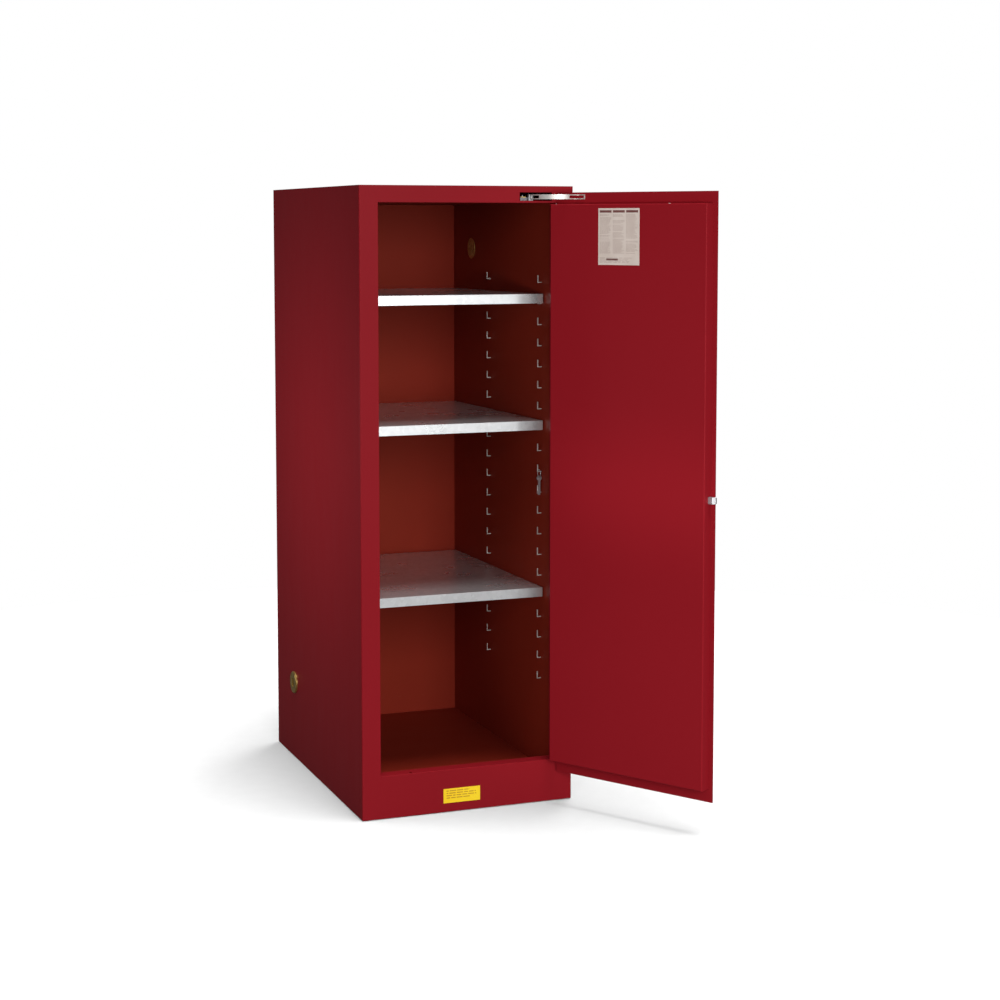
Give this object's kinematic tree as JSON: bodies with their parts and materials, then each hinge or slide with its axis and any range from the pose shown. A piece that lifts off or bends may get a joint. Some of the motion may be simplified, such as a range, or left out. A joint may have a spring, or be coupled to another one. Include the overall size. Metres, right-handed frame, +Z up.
{
  "type": "flammable storage cabinet",
  "caption": "Tall one-door steel safety cabinet for flammable liquids, with a hinged self-closing door, lift-out shelves, a sump and vent bungs.",
  "frame": {"origin": "centre of the base on the floor", "axes": "+X to the right along the front, +Y from the front to the rear, +Z up"},
  "size_m": [0.8253, 1.3027, 1.651],
  "materials": {
    "red_paint": "satin powder coat",
    "liner_paint": "satin powder coat",
    "galvanized_steel": "galvanised sheet",
    "zinc_plate": "zinc plated",
    "bright_steel": "bright",
    "hinge_paint": "satin powder coat",
    "spring_steel": "oiled spring wire",
    "chrome_trim": "polished",
    "brass": "dull",
    "foot_rubber": "matt",
    "yellow_label": "printed vinyl",
    "white_label": "printed vinyl"
  },
  "bodies": {
    "cabinet": {"door_frame": "red_paint", "outer_left_side": "red_paint", "outer_right_side": "red_paint", "outer_back": "red_paint", "outer_top": "red_paint", "underside": "liner_paint", "base_ring": "liner_paint", "foot_nuts": "zinc_plate", "inner_left_wall": "liner_paint", "inner_right_wall": "liner_paint", "inner_back_wall": "liner_paint", "inner_ceiling": "liner_paint", "sump_tray": "liner_paint", "shelf_hooks_left": "zinc_plate", "shelf_hooks_right": "zinc_plate", "vent_sleeve_left": "brass", "vent_sleeve_right": "brass", "flame_arrester_left": "brass", "flame_arrester_right": "brass", "ground_stud": "zinc_plate", "base_label": "yellow_label", "hinge_frame_leaf": "hinge_paint", "hinge_frame_rivets": "bright_steel", "hinge_pin": "bright_steel", "strike_plate": "zinc_plate", "closer_shoe": "spring_steel", "fusible_link": "brass", "closer_spring": "spring_steel", "closer_anchor": "zinc_plate"},
    "door": {"door_skin": "red_paint", "door_pan": "red_paint", "door_stiffener": "liner_paint", "door_label": "white_label", "hinge_door_leaf": "hinge_paint", "hinge_door_rivets": "bright_steel", "closer_arm": "zinc_plate", "latch_case": "zinc_plate", "latch_spring": "spring_steel", "rod_guides": "zinc_plate", "handle_plate": "chrome_trim"},
    "handle": {"handle": "chrome_trim", "latch_cam": "zinc_plate"},
    "lock_cylinder": {"lock_cylinder": "bright_steel"},
    "latch_bolt": {"latch_bolt": "bright_steel"},
    "top_rod": {"top_rod": "zinc_plate"},
    "bottom_rod": {"bottom_rod": "zinc_plate"},
    "shelf_top": {"shelf_top": "galvanized_steel"},
    "shelf_middle": {"shelf_middle": "galvanized_steel"},
    "shelf_bottom": {"shelf_bottom": "galvanized_steel"},
    "vent_cap_left": {"vent_cap_left": "brass"},
    "vent_cap_right": {"vent_cap_right": "brass"},
    "foot_front_left": {"foot_front_left": "foot_rubber"},
    "foot_front_right": {"foot_front_right": "foot_rubber"},
    "foot_rear_left": {"foot_rear_left": "foot_rubber"},
    "foot_rear_right": {"foot_rear_right": "foot_rubber"},
    "key_set": {"key_ring": "bright_steel", "keys": "bright_steel"}
  },
  "joints": [
    {"name": "door_hinge", "type": "hinge", "parent": "cabinet", "child": "door", "pos_m": [0.24622, -0.4343, 0.86], "axis": [0, 0, 1], "range_deg": [-121.2, 0]},
    {"name": "handle_turn", "type": "hinge", "parent": "door", "child": "handle", "pos_m": [0.44566, -0.76362, 0.86], "axis": [0.8554, 0.518, 0], "range_deg": [0, 90]},
    {"name": "lock_turn", "type": "hinge", "parent": "door", "child": "lock_cylinder", "pos_m": [0.44566, -0.76362, 0.92], "axis": [0.8554, 0.518, 0], "range_deg": [0, 90]},
    {"name": "top_rod_slide", "type": "slide", "parent": "door", "child": "top_rod", "axis": [0, 0, 1], "range_m": [0, 0.0141]},
    {"name": "bottom_rod_slide", "type": "slide", "parent": "door", "child": "bottom_rod", "axis": [0, 0, -1], "range_m": [0, 0.0141]},
    {"name": "latch_bolt_slide", "type": "slide", "parent": "door", "child": "latch_bolt", "axis": [0.518, -0.8554, 0], "range_m": [-0.0182, 0], "deforming": ["latch_spring"]},
    {"name": "shelf_top_lift", "type": "slide", "parent": "cabinet", "child": "shelf_top", "axis": [0, 0, 1], "range_m": [0, 0.025]},
    {"name": "shelf_middle_lift", "type": "slide", "parent": "cabinet", "child": "shelf_middle", "axis": [0, 0, 1], "range_m": [0, 0.025]},
    {"name": "shelf_bottom_lift", "type": "slide", "parent": "cabinet", "child": "shelf_bottom", "axis": [0, 0, 1], "range_m": [0, 0.025]},
    {"name": "vent_cap_left_slide", "type": "slide", "parent": "cabinet", "child": "vent_cap_left", "axis": [-1, 0, 0], "range_m": [0, 0.06]},
    {"name": "vent_cap_right_slide", "type": "slide", "parent": "cabinet", "child": "vent_cap_right", "axis": [1, 0, 0], "range_m": [0, 0.06]},
    {"name": "foot_front_left_screw", "type": "slide", "parent": "cabinet", "child": "foot_front_left", "axis": [0, 0, -1], "range_m": [0, 0.015]},
    {"name": "foot_front_right_screw", "type": "slide", "parent": "cabinet", "child": "foot_front_right", "axis": [0, 0, -1], "range_m": [0, 0.015]},
    {"name": "foot_rear_left_screw", "type": "slide", "parent": "cabinet", "child": "foot_rear_left", "axis": [0, 0, -1], "range_m": [0, 0.015]},
    {"name": "foot_rear_right_screw", "type": "slide", "parent": "cabinet", "child": "foot_rear_right", "axis": [0, 0, -1], "range_m": [0, 0.015]},
    {"name": "keys_swing", "type": "hinge", "parent": "cabinet", "child": "key_set", "pos_m": [0.24698, -0.3118, 0.8822], "axis": [-1, 0, 0], "range_deg": [0, 15]}
  ],
  "couplings": [
    {"joint": "top_rod_slide", "follows": "handle_turn", "m_per_rad": 0.0089127},
    {"joint": "bottom_rod_slide", "follows": "handle_turn", "m_per_rad": 0.0089127},
    {"joint": "latch_bolt_slide", "follows": "door_hinge", "m_per_rad": 0.0085093}
  ]
}
